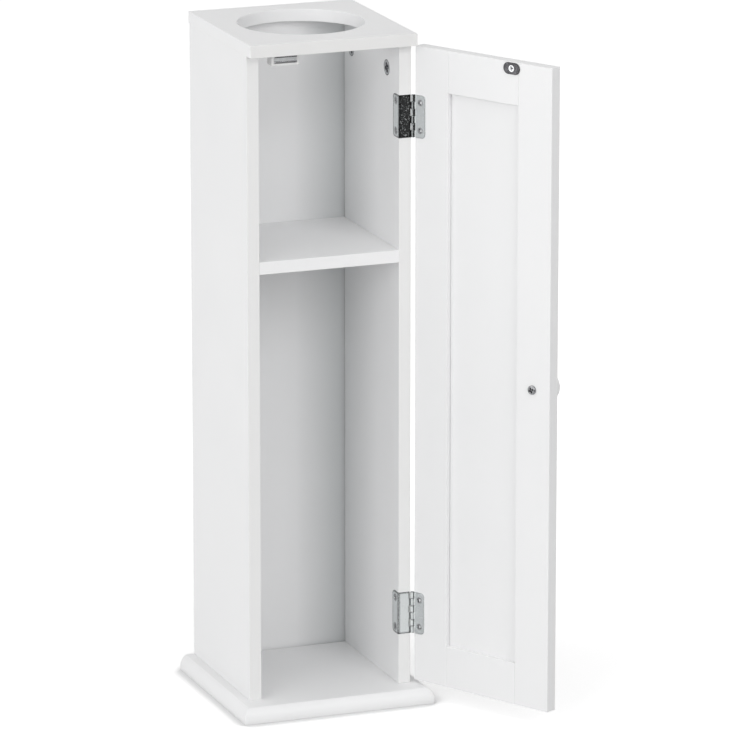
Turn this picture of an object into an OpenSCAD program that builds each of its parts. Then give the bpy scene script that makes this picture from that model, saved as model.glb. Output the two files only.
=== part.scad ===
// Toilet roll storage cabinet: a narrow white board cabinet on a moulded base,
// with a round hole through its top, one fixed shelf and a frame and panel door
// on two wrap-round butt hinges.
// Millimetres, +Z up. Origin on the floor at the middle of the base board in plan.
// The front faces -Y. Right is +X as seen from the front.

/* [Carcass] */
// Height of the whole cabinet from the floor to the top's upper face
cab_h = 650; // [600:1:900]
// Width of the top board
top_w = 165; // [150:1:300]
// Depth of the top board
top_d = 174; // [168:1:300]
// Thickness of the top board
top_t = 12; // [11:0.5:22]
// Thickness of each side board
side_t = 12; // [11:0.5:16]
// How far the top board oversails each side board
top_sail = 1; // [0:0.5:6]
// Thickness of the shelf
shelf_t = 12; // [9:0.5:22]
// Height of the shelf's upper face above the floor
shelf_top = 441; // [260:1:520]
// Diameter of the round hole through the top
hole_d = 120; // [60:1:126]
// Distance of that hole's centre behind the top's front edge
hole_back = 90; // [82:1:96]

/* [Base board] */
// Thickness of the base board
base_t = 15; // [12:0.5:16]
// How far the base reaches past the top at the front and both sides
base_over = 13.5; // [8:0.5:30]
// Radius of the rounded edge of the base
nose_r = 12; // [11:0.5:20]
// Height of that rounding's centre above the floor
nose_z = 4.5; // [3.5:0.5:7]

/* [Back panel] */
// Thickness of the back panel
back_t = 3; // [2.5:0.5:4]
// Width of the groove that holds the back panel
back_groove_w = 5; // [4:0.5:6]
// Depth of that groove in the sides, the top and the base
back_groove_d = 4; // [2:0.5:6]
// Distance from that groove to the rear edges of the boards
back_inset = 10.5; // [5:0.5:18]

/* [Door] */
// Thickness of the door's frame members
door_t = 12; // [11:0.5:18]
// Gap between the top board and the closed door
door_gap_top = 2; // [1:0.5:5]
// Gap between the base board and the closed door
door_gap_bottom = 3; // [1:0.5:6]
// How far the door's free edge stops short of the left side's outer face
door_short = 1; // [0:0.5:4]
// Width of the two upright frame members
stile_w = 39.5; // [28:0.5:50]
// Height of the two cross members
rail_h = 40.5; // [25:0.5:70]
// Thickness of the door's panel
panel_t = 3; // [2.5:0.5:3.5]
// Width of the groove and of the tongues in the door's frame
frame_groove_w = 4; // [4:0.5:5]
// Depth of that groove
frame_groove_d = 6; // [4:0.5:9]
// Angle to which the door stands open
door_open = 119.3; // [0:0.1:190]

/* [Hinges] */
// Height of each hinge
hinge_h = 41; // [36:1:60]
// Distance between the middles of the two hinges
hinge_pitch = 484; // [300:1:520]
// Thickness of the hinge leaves
leaf_t = 0.9; // [0.7:0.05:0.95]
// Gap between the closed door and the front edges of the sides
leaf_gap = 2; // [2:0.1:3]
// Diameter of the hinge pins
pin_d = 1.8; // [1.6:0.1:1.8]
// Radial clearance of a pin in the knuckles
pin_clear = 0.05; // [0.02:0.01:0.09]
// Distance of the pin's axis outside the right side's outer face
pin_out = 1.6; // [1.6:0.1:4]
// Width of the leaf on the door, measured from the door's hinged edge
door_leaf_w = 12.5; // [10:0.5:20]
// Depth of the leg that lies on the side's inner face
leg_d = 14.5; // [11:0.5:20]
// Radius of the leaves' far corners
leaf_corner = 4; // [1:0.5:5]
// Distance between the two screws in a door leaf
door_screw_pitch = 26.5; // [18:0.5:28]
// Distance between the two screws in a cabinet leaf
leg_screw_pitch = 29; // [18:0.5:30]
// Diameter of the heads of the hinge screws
hinge_head_d = 5; // [4:0.5:6]
// Length of the hinge screws
hinge_screw_l = 9; // [6:0.5:10]

/* [Magnetic catch] */
// Width of the catch's body
catch_w = 27.5; // [24:0.5:34]
// Depth of the catch's body from front to back
catch_d = 12; // [10:0.5:16]
// Height of the catch's body
catch_h = 12; // [11:0.5:16]
// Distance of the catch's middle from the left side's inner face
catch_x = 26.5; // [24:0.5:30]
// Length of the two ears that take the screws
ear_l = 9; // [8:0.5:10]
// Thickness of the ears
ear_t = 2; // [1.5:0.5:3]
// Width of the pole plates and of the magnet between them
pole_w = 22; // [16:0.5:22]
// Thickness of each pole plate
pole_t = 1.2; // [0.8:0.1:1.5]
// Thickness of the magnet
magnet_t = 3.6; // [3:0.1:4.5]

/* [Strike plate] */
// Length of the strike plate
strike_l = 19; // [16:0.5:24]
// Width of the strike plate
strike_w = 11; // [9:0.5:12]
// Thickness of the strike plate
strike_t = 1; // [0.8:0.1:1]
// Distance of its middle from the door's free edge
strike_in = 47; // [36:0.5:60]
// Distance of its middle below the door's upper edge
strike_drop = 6.2; // [5.6:0.1:8]
// Diameter of its screw's head
strike_head_d = 6.5; // [5:0.5:7]

/* [Cam fittings] */
// Diameter of the cam locks
cam_d = 15; // [12:0.5:15]
// Depth of the cam locks in the side boards
cam_depth = 9.5; // [9:0.5:10]
// Distance of the cam locks below the top board
cam_drop = 28.5; // [20:0.5:34]
// Distance between the front and the rear cam lock
cam_pitch = 94; // [70:1:100]

/* [Dowels and base screws] */
// Diameter of the dowels
dowel_d = 6; // [5:0.5:7]
// Length of the dowels
dowel_l = 24; // [20:1:30]
// Depth of a dowel in the face of a board
dowel_face = 8; // [6:0.5:9]
// Distance between the two dowels at each end of the shelf
shelf_dowel_pitch = 90; // [60:1:110]
// Distance between the two base screws under each side
base_screw_pitch = 110; // [70:1:120]
// Length of the base screws
base_screw_l = 45; // [35:1:60]
// Diameter of the base screws
base_screw_d = 5; // [4:0.5:6]
// Diameter of the heads of the base screws
base_head_d = 9; // [8:0.5:11]

/* [Knob] */
// Diameter of the knob
knob_d = 30; // [20:0.5:32]
// Height of the knob's rim above the door
knob_rim = 9.4; // [8:0.1:12]
// Radius of the rounded rim
knob_rim_r = 3.6; // [2:0.1:4]
// Diameter of the knob's foot
knob_foot_d = 14; // [12:0.5:16]
// How far the knob's face domes up beyond the rim
knob_dome = 1.5; // [1:0.1:3]
// Distance of the knob's middle from the door's free edge
knob_in = 20.5; // [16:0.5:30]
// Height of the knob above the floor
knob_z = 328.5; // [200:0.5:480]
// Diameter of the knob screw's head
knob_head_d = 8.8; // [8:0.1:9]
// Height of that head
knob_head_t = 2.4; // [2:0.1:3]

/* [Hidden] */
$fn = 64;
// Clearance of screws and dowels in their holes
fit = 0.05;
// Length by which a cutter runs past a face
past = 1;
base_w = top_w + 2 * base_over;
base_d = top_d + base_over;
y_rear = base_d / 2;
y_front = y_rear - top_d;
z_under = cab_h - top_t;
side_out = top_w / 2 - top_sail;
side_in = side_out - side_t;
side_mid = side_out - side_t / 2;
y_door = y_front + door_t;
y_side = y_door + leaf_gap;
side_d = y_rear - y_side;
y_mid = y_side + side_d / 2;
y_groove = y_rear - back_inset - back_groove_w;
y_back = y_rear - back_inset - back_t;
shelf_z = shelf_top - shelf_t;
shelf_mid = (y_side + y_back) / 2;
panel_play = 1;
back_play = 0.5;
// door
door_l = -side_out + door_short;
door_w = side_out - door_l;
door_z = base_t + door_gap_bottom;
door_top = z_under - door_gap_top;
door_mid = (door_z + door_top) / 2;
open_w = door_w - 2 * stile_w;
open_l = door_l + stile_w;
open_z = door_z + rail_h;
open_top = door_top - rail_h;
tongue_y = y_door - (door_t + frame_groove_w) / 2;
pin_x = side_out + pin_out;
pin_y = y_door + leaf_gap / 2;
// cam fittings
spare = 0.5;
cam_play = 0.2;
cam_slot_d = 1.8;
stem_gap = 1;
bolt_in = 9;
bolt_r = 2.5;
collar_t = 1;
bolt_collar_r = 3.4;
neck_r = 1.8;
bolt_head_r = 3;
bolt_head_h = 3.6;
bolt_room = 4.8;
pocket_play = 0.4;
// hinges
knuckle_n = 6;
knuckle_gap = 0.1;
knuckle_h = hinge_h / knuckle_n;
knuckle_r = pin_d / 2 + leaf_t;
bore_r = pin_d / 2 + pin_clear;
leaf_short = 0.9;
leaf_back = knuckle_r + leaf_short;
hinge_zs = [door_mid - hinge_pitch / 2, door_mid + hinge_pitch / 2];
hinge_shank_d = 2.6;
hinge_head_t = (hinge_head_d - hinge_shank_d) / 2;
leg_screw_in = 6.5;
leg_screw_y = y_side + leg_screw_in;
door_screw_off = 0.6;
door_screw_x = side_out - door_leaf_w / 2 - door_screw_off;
// catch and strike
catch_head_d = 4.6;
catch_wall = 2;
ear_w = 8;
window_play = 0.7;
catch_cx = -side_in + catch_x;
catch_set = 2;
catch_front = y_door + catch_set;
catch_rear = catch_front + catch_d;
catch_mid = catch_front + catch_d / 2;
pole_gap = 0.1;
magnet_back = 1;
pole_front = y_door + strike_t + pole_gap;
pole_drop = 2.9;
pole_z = z_under - pole_drop - pole_t;
pole_low = pole_z - magnet_t - pole_t;
strike_shank_d = 3;
strike_screw_l = 9;
strike_cx = door_l + strike_in;
strike_cz = door_top - strike_drop;
// knob
knob_cx = door_l + knob_in;
knob_r = knob_d / 2;
knob_hub = knob_rim + knob_rim_r;
knob_flat = knob_r - knob_rim_r;
dome_r = (knob_flat * knob_flat + knob_dome * knob_dome) / (2 * knob_dome);
knob_screw_r = 2;
knob_screw_end = 4;
knob_screw_in = knob_hub - knob_screw_end;
head_bevel = 1;
knob_slot_d = 1.6;

white = [0.95, 0.95, 0.94];
zinc = [0.72, 0.73, 0.74];
dark = [0.30, 0.31, 0.33];
wood = [0.80, 0.66, 0.46];

// ---- shared shapes ----

// Box from its low corner to its high corner
module block(lo, hi) {
    translate(lo)
        cube([hi[0] - lo[0], hi[1] - lo[1], hi[2] - lo[2]]);
}

// The door's pieces are drawn closed and swung about the pins
module swung() {
    translate([pin_x, pin_y, 0])
        rotate([0, 0, door_open])
            translate([-pin_x, -pin_y, 0])
                children();
}

// Countersunk screw pointing along -Z with its head's face at the origin
module sunk_screw(head_d, shank_d, len) {
    head_t = (head_d - shank_d) / 2;
    difference() {
        union() {
            translate([0, 0, -head_t])
                cylinder(h = head_t, r1 = shank_d / 2, r2 = head_d / 2);
            translate([0, 0, -len + shank_d / 2])
                cylinder(h = len - shank_d / 2, r = shank_d / 2);
            translate([0, 0, -len])
                cylinder(h = shank_d / 2, r1 = shank_d / 8, r2 = shank_d / 2);
        }
        cross_slot(head_d * 0.56, head_d * 0.13, head_t * 0.8);
    }
}

// Cross recess sunk from z = 0
module cross_slot(len, wide, deep) {
    for (turn = [0, 90])
        rotate([0, 0, turn])
            translate([-len / 2, -wide / 2, -deep])
                cube([len, wide, deep + past]);
}

// Hole that such a screw fits, cut from z = 0 downwards
module sunk_hole(head_d, shank_d, len) {
    head_t = (head_d - shank_d) / 2;
    translate([0, 0, -head_t])
        cylinder(h = head_t, r1 = shank_d / 2 + fit, r2 = head_d / 2 + fit);
    cylinder(h = past, r = head_d / 2 + fit);
    translate([0, 0, -len])
        cylinder(h = len, r = shank_d / 2 + fit);
}

// ---- places of the hardware ----

module at_hinges() {
    for (z = hinge_zs)
        translate([0, 0, z])
            children();
}

// On the right side's inner face, screws pointing into the board (+X)
module at_leg_screws() {
    at_hinges()
        for (s = [-1, 1])
            translate([side_in - leaf_t, leg_screw_y, s * leg_screw_pitch / 2])
                rotate([0, -90, 0])
                    children();
}

// On the closed door's inner face, screws pointing to the front (-Y)
module at_door_screws() {
    at_hinges()
        for (s = [-1, 1])
            translate([door_screw_x, y_door + leaf_t, s * door_screw_pitch / 2])
                rotate([-90, 0, 0])
                    children();
}

// Cam axes on the inner faces, pointing into the boards
module at_cams() {
    for (side = [-1, 1])
        for (s = [-1, 1])
            translate([side * side_in, y_mid + s * cam_pitch / 2, z_under - cam_drop])
                rotate([0, side * 90, 0])
                    children();
}

// Cam bolts stand on the joint between side and top
module at_cam_bolts() {
    for (side = [-1, 1])
        for (s = [-1, 1])
            translate([side * side_mid, y_mid + s * cam_pitch / 2, z_under])
                children();
}

// Dowels lie along +Z from the joint into the face of a board
module at_dowels() {
    for (side = [-1, 1]) {
        translate([side * side_mid, y_mid, z_under])
            children();
        translate([side * side_mid, y_mid, base_t])
            rotate([180, 0, 0])
                children();
        for (s = [-1, 1])
            translate([side * side_in, shelf_mid + s * shelf_dowel_pitch / 2, shelf_top - shelf_t / 2])
                rotate([0, side * 90, 0])
                    children();
    }
}

// Base screws point up from the base's underside
module at_base_screws() {
    for (side = [-1, 1])
        for (s = [-1, 1])
            translate([side * side_mid, y_mid + s * base_screw_pitch / 2, 0])
                rotate([180, 0, 0])
                    children();
}

module dowel_hole() {
    translate([0, 0, dowel_face - dowel_l - spare])
        cylinder(h = dowel_l + spare, r = dowel_d / 2 + fit);
}

module at_catch_screws() {
    for (s = [-1, 1])
        translate([catch_cx + s * (catch_w + ear_l) / 2, catch_mid, z_under - ear_t])
            rotate([180, 0, 0])
                children();
}

// ---- carcass ----

module top_panel() {
    color(white)
        difference() {
            block([-top_w / 2, y_front, z_under], [top_w / 2, y_rear, cab_h]);
            translate([0, y_front + hole_back, z_under - past])
                cylinder(h = top_t + 2 * past, r = hole_d / 2, $fn = 128);
            block([-side_in - back_groove_d, y_groove, z_under - past],
                [side_in + back_groove_d, y_groove + back_groove_w, z_under + back_groove_d]);
            at_cam_bolts()
                cylinder(h = bolt_in + spare, r = bolt_r + fit);
            at_dowels()
                dowel_hole();
            at_catch_screws()
                sunk_hole(catch_head_d, hinge_shank_d, hinge_screw_l + spare);
        }
}

// One side board, drawn on the right and mirrored for the left
module side_board() {
    difference() {
        block([side_in, y_side, base_t], [side_out, y_rear, z_under]);
        block([side_in - past, y_groove, base_t - past],
            [side_in + back_groove_d, y_groove + back_groove_w, z_under + past]);
        at_cams()
            translate([0, 0, -past])
                cylinder(h = cam_depth + past, r = cam_d / 2);
        at_cam_bolts()
            translate([0, 0, -cam_drop - bolt_room / 2])
                cylinder(h = cam_drop + bolt_room / 2 + past, r = bolt_collar_r + 2 * fit);
        at_dowels()
            dowel_hole();
        at_base_screws()
            sunk_hole(base_head_d, base_screw_d, base_screw_l + spare);
    }
}

module right_side() {
    color(white)
        difference() {
            side_board();
            at_leg_screws()
                sunk_hole(hinge_head_d, hinge_shank_d, hinge_screw_l + spare);
        }
}

module left_side() {
    color(white)
        mirror([1, 0, 0])
            side_board();
}

// Profile of the base from front or side: u outwards, v up, outermost at u = 0
module nose_profile(reach) {
    translate([-reach, 0])
        square([reach - nose_r, base_t]);
    intersection() {
        translate([-nose_r, nose_z])
            circle(r = nose_r, $fn = 96);
        translate([-nose_r, 0])
            square([nose_r, base_t]);
    }
}

module base_plate() {
    color(white)
        difference() {
            intersection() {
                translate([-base_w / 2, -base_d / 2, 0])
                    rotate([90, 0, 90])
                        linear_extrude(base_w)
                            mirror([1, 0])
                                nose_profile(base_d);
                translate([0, y_rear, 0])
                    rotate([90, 0, 0])
                        linear_extrude(base_d)
                            union() {
                                translate([base_w / 2, 0])
                                    nose_profile(base_w / 2);
                                mirror([1, 0])
                                    translate([base_w / 2, 0])
                                        nose_profile(base_w / 2);
                            }
            }
            block([-side_in - back_groove_d, y_groove, base_t - back_groove_d],
                [side_in + back_groove_d, y_groove + back_groove_w, base_t + past]);
            at_base_screws()
                sunk_hole(base_head_d, base_screw_d, base_screw_l + spare);
            at_dowels()
                dowel_hole();
        }
}

module shelf() {
    color(white)
        difference() {
            block([-side_in, y_side, shelf_z], [side_in, y_back, shelf_top]);
            at_dowels()
                dowel_hole();
        }
}

module back_panel() {
    color(white)
        block([-side_in - back_groove_d + back_play, y_back, base_t - back_groove_d],
            [side_in + back_groove_d - back_play, y_back + back_t, z_under + back_groove_d - back_play]);
}

// ---- joint fittings ----

// Cam lock: a disc with a cross slot in its face and a pocket for the bolt's head,
// open at the rim where the bolt's neck goes in
module cam_locks() {
    color(dark)
        at_cams()
            difference() {
                cylinder(h = cam_depth - cam_play, r = cam_d / 2 - fit);
                rotate([180, 0, 0])
                    cross_slot(cam_d * 0.6, cam_d * 0.12, cam_slot_d);
                for (s = [-1, 1])
                    translate([0, 0, side_t / 2])
                        rotate([0, s * 90, 0])
                            cam_pocket();
            }
}

module cam_pocket() {
    cylinder(h = cam_d, r = neck_r + pocket_play);
    translate([0, 0, -bolt_room / 2])
        cylinder(h = bolt_room, r = bolt_head_r + pocket_play);
}

// Cam bolt: threaded end up in the top, collar, stem and waisted head in the cam lock
module cam_bolts() {
    stem = cam_drop - cam_d / 2 - stem_gap;
    color(zinc)
        at_cam_bolts() {
            cylinder(h = bolt_in, r = bolt_r);
            translate([0, 0, -collar_t])
                cylinder(h = collar_t, r = bolt_collar_r);
            translate([0, 0, -stem])
                cylinder(h = stem, r = bolt_r);
            translate([0, 0, -cam_drop])
                cylinder(h = cam_drop, r = neck_r);
            translate([0, 0, -cam_drop - bolt_head_h / 2])
                cylinder(h = bolt_head_h, r = bolt_head_r);
        }
}

module dowels() {
    color(wood)
        at_dowels()
            translate([0, 0, dowel_face - dowel_l])
                cylinder(h = dowel_l, r = dowel_d / 2);
}

module base_screws() {
    color(zinc)
        at_base_screws()
            sunk_screw(base_head_d, base_screw_d, base_screw_l);
}

// ---- hinges ----

// Knuckle k counted from the top, with its bore left out
module knuckle(k) {
    translate([pin_x, pin_y, hinge_h / 2 - (k + 1) * knuckle_h + knuckle_gap / 2])
        cylinder(h = knuckle_h - knuckle_gap, r = knuckle_r);
}

// Room that knuckle k of the other leaf turns in
module knuckle_room(k) {
    translate([pin_x, pin_y, hinge_h / 2 - (k + 1) * knuckle_h - knuckle_gap / 2])
        cylinder(h = knuckle_h + knuckle_gap, r = leaf_back);
}

module pin_bore() {
    translate([pin_x, pin_y, -hinge_h / 2 - past])
        cylinder(h = hinge_h + 2 * past, r = bore_r);
}

// Wrapped leaf: a plate across the side's front edge, a leg on its inner face
// and the knuckles 2, 4 and 6
module cabinet_leaf() {
    difference() {
        union() {
            difference() {
                block([side_in - leaf_t, y_side - leaf_t, -hinge_h / 2],
                    [pin_x, y_side, hinge_h / 2]);
                for (k = [0, 2, 4])
                    knuckle_room(k);
            }
            difference() {
                block([side_in - leaf_t, y_side - leaf_t, -hinge_h / 2],
                    [side_in, y_side - leaf_t + leg_d, hinge_h / 2]);
                for (s = [-1, 1])
                    translate([side_in, y_side - leaf_t + leg_d, s * hinge_h / 2])
                        rotate([0, -90, 0])
                            corner_cut();
            }
            for (k = [1, 3, 5])
                knuckle(k);
        }
        pin_bore();
        bend_round();
    }
}

// Rounds the outer edge of the bend
module bend_round() {
    translate([side_in - leaf_t, y_side - leaf_t, -hinge_h])
        difference() {
            translate([-past, -past, 0])
                cube([past + leaf_t, past + leaf_t, 2 * hinge_h]);
            translate([leaf_t, leaf_t, -past])
                cylinder(h = 2 * hinge_h + 2 * past, r = leaf_t);
        }
}

// Takes a square corner back to the leaf's corner radius; local corner at the origin,
// the leaf on both sides of it, thickness along +Z
module corner_cut() {
    difference() {
        translate([-leaf_corner, -leaf_corner, -past])
            cube([2 * leaf_corner, leaf_corner + past, leaf_t + 2 * past]);
        for (s = [-1, 1])
            translate([s * leaf_corner, -leaf_corner, -2 * past])
                cylinder(h = leaf_t + 4 * past, r = leaf_corner);
    }
}

// Flat leaf on the door with the knuckles 1, 3 and 5
module door_leaf() {
    difference() {
        union() {
            difference() {
                block([side_out - door_leaf_w, y_door, -hinge_h / 2],
                    [pin_x, y_door + leaf_t, hinge_h / 2]);
                for (k = [1, 3, 5])
                    knuckle_room(k);
                for (s = [-1, 1])
                    translate([side_out - door_leaf_w, y_door, s * hinge_h / 2])
                        rotate([-90, 0, 0])
                            rotate([0, 0, 90])
                                corner_cut();
            }
            for (k = [0, 2, 4])
                knuckle(k);
        }
        pin_bore();
    }
}

module upper_cabinet_leaf() {
    color(zinc)
        difference() {
            translate([0, 0, hinge_zs[1]])
                cabinet_leaf();
            at_leg_screws()
                sunk_hole(hinge_head_d, hinge_shank_d, hinge_screw_l);
        }
}

module lower_cabinet_leaf() {
    color(zinc)
        difference() {
            translate([0, 0, hinge_zs[0]])
                cabinet_leaf();
            at_leg_screws()
                sunk_hole(hinge_head_d, hinge_shank_d, hinge_screw_l);
        }
}

module upper_door_leaf() {
    color(zinc)
        swung()
            difference() {
                translate([0, 0, hinge_zs[1]])
                    door_leaf();
                at_door_screws()
                    sunk_hole(hinge_head_d, hinge_shank_d, hinge_screw_l);
            }
}

module lower_door_leaf() {
    color(zinc)
        swung()
            difference() {
                translate([0, 0, hinge_zs[0]])
                    door_leaf();
                at_door_screws()
                    sunk_hole(hinge_head_d, hinge_shank_d, hinge_screw_l);
            }
}

module hinge_pins() {
    color(zinc)
        at_hinges()
            translate([pin_x, pin_y, -hinge_h / 2])
                cylinder(h = hinge_h, r = pin_d / 2);
}

module cabinet_leaf_screws() {
    color(zinc)
        at_leg_screws()
            sunk_screw(hinge_head_d, hinge_shank_d, hinge_screw_l);
}

module door_leaf_screws() {
    color(zinc)
        swung()
            at_door_screws()
                sunk_screw(hinge_head_d, hinge_shank_d, hinge_screw_l);
}

// ---- magnetic catch under the top ----

module catch_body() {
    ear_x = catch_w / 2 + ear_l;
    color(white)
        difference() {
            union() {
                block([catch_cx - catch_w / 2, catch_front, z_under - catch_h],
                    [catch_cx + catch_w / 2, catch_rear, z_under]);
                block([catch_cx - ear_x, catch_mid - ear_w / 2, z_under - ear_t],
                    [catch_cx + ear_x, catch_mid + ear_w / 2, z_under]);
            }
            block([catch_cx - pole_w / 2 - fit, catch_front - past, pole_low - window_play],
                [catch_cx + pole_w / 2 + fit, catch_rear - catch_wall, pole_z + pole_t + window_play]);
            at_catch_screws()
                sunk_hole(catch_head_d, hinge_shank_d, hinge_screw_l);
        }
}

// Upper and lower pole plate
module catch_poles() {
    color(zinc)
        for (z = [pole_low, pole_z])
            block([catch_cx - pole_w / 2, pole_front, z],
                [catch_cx + pole_w / 2, catch_rear - catch_wall, z + pole_t]);
}

module catch_magnet() {
    color(dark)
        block([catch_cx - pole_w / 2, pole_front + magnet_back, pole_z - magnet_t],
            [catch_cx + pole_w / 2, catch_rear - catch_wall, pole_z]);
}

module catch_screws() {
    color(zinc)
        at_catch_screws()
            sunk_screw(catch_head_d, hinge_shank_d, hinge_screw_l);
}

// ---- door ----

// Upright member from x to x + stile_w with the groove in its inner edge
module stile(x, groove_x) {
    difference() {
        block([x, y_door - door_t, door_z], [x + stile_w, y_door, door_top]);
        block([groove_x, tongue_y, door_z - past],
            [groove_x + frame_groove_d + past, tongue_y + frame_groove_w, door_top + past]);
    }
}

module door_hinge_stile() {
    color(white)
        swung()
            difference() {
                stile(open_l + open_w, open_l + open_w - past);
                at_door_screws()
                    sunk_hole(hinge_head_d, hinge_shank_d, hinge_screw_l + spare);
            }
}

module door_free_stile() {
    color(white)
        swung()
            difference() {
                stile(door_l, open_l - frame_groove_d);
                translate([knob_cx, y_door - door_t - past, knob_z])
                    rotate([-90, 0, 0])
                        cylinder(h = door_t + 2 * past, r = knob_screw_r + 2 * fit);
                at_strike()
                    sunk_hole(strike_head_d, strike_shank_d, strike_screw_l + spare);
            }
}

// Cross member with a tongue at each end; groove_z is the lower edge of its groove
module rail(z, groove_z) {
    block([open_l, y_door - door_t, z], [open_l + open_w, y_door, z + rail_h]);
    block([open_l - frame_groove_d, tongue_y, z],
        [open_l + open_w + frame_groove_d, tongue_y + frame_groove_w, z + rail_h]);
}

module rail_groove(z) {
    block([open_l - frame_groove_d - past, tongue_y, z],
        [open_l + open_w + frame_groove_d + past, tongue_y + frame_groove_w, z + frame_groove_d + past]);
}

module door_top_rail() {
    color(white)
        swung()
            difference() {
                rail(open_top);
                rail_groove(open_top - past);
                at_strike()
                    sunk_hole(strike_head_d, strike_shank_d, strike_screw_l + spare);
            }
}

module door_bottom_rail() {
    color(white)
        swung()
            difference() {
                rail(door_z);
                rail_groove(open_z - frame_groove_d);
            }
}

module door_panel() {
    reach = frame_groove_d - panel_play;
    color(white)
        swung()
            block([open_l - reach, tongue_y, open_z - frame_groove_d],
                [open_l + open_w + reach, tongue_y + panel_t, open_top + reach]);
}

// ---- strike plate and knob ----

module at_strike() {
    translate([strike_cx, y_door + strike_t, strike_cz])
        rotate([-90, 0, 0])
            children();
}

module strike_plate() {
    straight = strike_l - strike_w;
    color(dark)
        swung()
            at_strike()
                difference() {
                    union() {
                        translate([-straight / 2, -strike_w / 2, -strike_t])
                            cube([straight, strike_w, strike_t]);
                        for (s = [-1, 1])
                            translate([s * straight / 2, 0, -strike_t])
                                cylinder(h = strike_t, r = strike_w / 2);
                    }
                    sunk_hole(strike_head_d, strike_shank_d, strike_screw_l + spare);
                }
}

module strike_screw() {
    color(zinc)
        swung()
            at_strike()
                sunk_screw(strike_head_d, strike_shank_d, strike_screw_l);
}

// Half section of the knob, foot at the bottom
module knob_profile() {
    square([knob_foot_d / 2, knob_hub - 1]);
    translate([0, knob_hub - 2 * knob_rim_r])
        square([knob_flat, 2 * knob_rim_r]);
    translate([knob_flat, knob_rim])
        circle(r = knob_rim_r);
    intersection() {
        translate([0, knob_hub + knob_dome - dome_r])
            circle(r = dome_r, $fn = 180);
        translate([0, knob_hub - 0.01])
            square([knob_flat, knob_dome + past]);
    }
}

module knob() {
    color(white)
        swung()
            translate([knob_cx, y_door - door_t, knob_z])
                rotate([90, 0, 0])
                    difference() {
                        rotate_extrude($fn = 96)
                            knob_profile();
                        translate([0, 0, -past])
                            cylinder(h = knob_screw_in + spare + past, r = knob_screw_r + fit);
                    }
}

module knob_screw() {
    color(zinc)
        swung()
            translate([knob_cx, y_door, knob_z])
                rotate([-90, 0, 0])
                    difference() {
                        union() {
                            translate([0, 0, -door_t - knob_screw_in])
                                cylinder(h = door_t + knob_screw_in, r = knob_screw_r);
                            cylinder(h = knob_head_t - head_bevel, r = knob_head_d / 2);
                            translate([0, 0, knob_head_t - head_bevel])
                                cylinder(h = head_bevel, r1 = knob_head_d / 2,
                                    r2 = knob_head_d / 2 - head_bevel);
                        }
                        translate([0, 0, knob_head_t])
                            cross_slot(knob_head_d * 0.56, knob_head_d * 0.13, knob_slot_d);
                    }
}

top_panel();
left_side();
right_side();
base_plate();
shelf();
back_panel();
cam_locks();
cam_bolts();
dowels();
base_screws();
upper_cabinet_leaf();
lower_cabinet_leaf();
hinge_pins();
cabinet_leaf_screws();
catch_body();
catch_poles();
catch_magnet();
catch_screws();
door_hinge_stile();
door_free_stile();
door_top_rail();
door_bottom_rail();
door_panel();
upper_door_leaf();
lower_door_leaf();
door_leaf_screws();
strike_plate();
strike_screw();
knob();
knob_screw();
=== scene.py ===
import math

import bmesh
import bpy
import numpy as np
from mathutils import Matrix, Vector


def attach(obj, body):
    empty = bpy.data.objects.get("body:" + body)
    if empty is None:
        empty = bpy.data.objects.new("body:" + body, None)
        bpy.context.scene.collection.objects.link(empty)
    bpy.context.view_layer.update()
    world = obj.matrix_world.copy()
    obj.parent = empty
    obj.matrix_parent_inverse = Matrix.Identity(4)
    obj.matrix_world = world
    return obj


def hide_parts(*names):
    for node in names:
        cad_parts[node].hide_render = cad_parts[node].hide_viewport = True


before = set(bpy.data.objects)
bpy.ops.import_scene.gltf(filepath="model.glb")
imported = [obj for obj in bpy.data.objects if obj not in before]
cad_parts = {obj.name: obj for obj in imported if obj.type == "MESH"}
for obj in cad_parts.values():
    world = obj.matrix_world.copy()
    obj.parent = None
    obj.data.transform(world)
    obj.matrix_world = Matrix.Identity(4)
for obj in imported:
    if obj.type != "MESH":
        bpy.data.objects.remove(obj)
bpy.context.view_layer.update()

halfPi = 0.5 * np.pi
toMetres, weldGap = 0.001, 2e-6  # from millimetres, and how near points are one, in metres

# White cabinet for spare toilet rolls. Sizes are in millimetres in the frame's own axes:
# the front faces -Y, the viewer's right is +X and the floor is z = 0. The door's pieces are
# drawn closed and turned to the open door by swungOpen.


# outlines

def circle(a):
    # (cos a, sin a)
    return np.stack([np.cos(a), np.sin(a)], -1)


def easedRun(low, high, ease, steps=6):
    # heights and insets of a run with both ends rounded over:
    # height = low + e (1 - cos a), inset = e (1 - sin a), a from 0 to a quarter turn
    a = np.linspace(0, halfPi, steps)
    up, inward = ease * (1 - np.cos(a)), ease * (1 - np.sin(a))
    return np.concatenate([low + up, high - up[::-1]]), np.concatenate([inward, inward[::-1]])


def roundedRings(x0, x1, y0, y1, radius, steps=6, fill=0):
    # one rectangle with round corners for each row: corner middle + radius (cos a, sin a),
    # with fill more points along each straight side
    rows = [np.atleast_1d(np.asarray(v, float)) for v in (x0, x1, y0, y1, radius)]
    x0, x1, y0, y1, radius = np.broadcast_arrays(*rows)
    left, right, front, rear = x0 + radius, x1 - radius, y0 + radius, y1 - radius
    middles = np.stack([right, rear, left, rear, left, front, right, front], -1).reshape(-1, 4, 1, 2)
    a = np.arange(4)[:, None] * halfPi + np.linspace(0, halfPi, steps)
    points = middles + radius[:, None, None, None] * circle(a)
    if fill:
        last, following = points[:, :, -1:], np.roll(points, -1, 1)[:, :, :1]
        share = (np.arange(1, fill + 1) / (fill + 1))[:, None]
        points = np.concatenate([points, last + (following - last) * share], 2)
    return points.reshape(len(x0), -1, 2)


def drawnIn(x0, x1, y0, y1, radius, inset, **more):
    # the same rectangle drawn in by each inset
    return roundedRings(x0 + inset, x1 - inset, y0 + inset, y1 - inset, radius - inset, **more)


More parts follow.
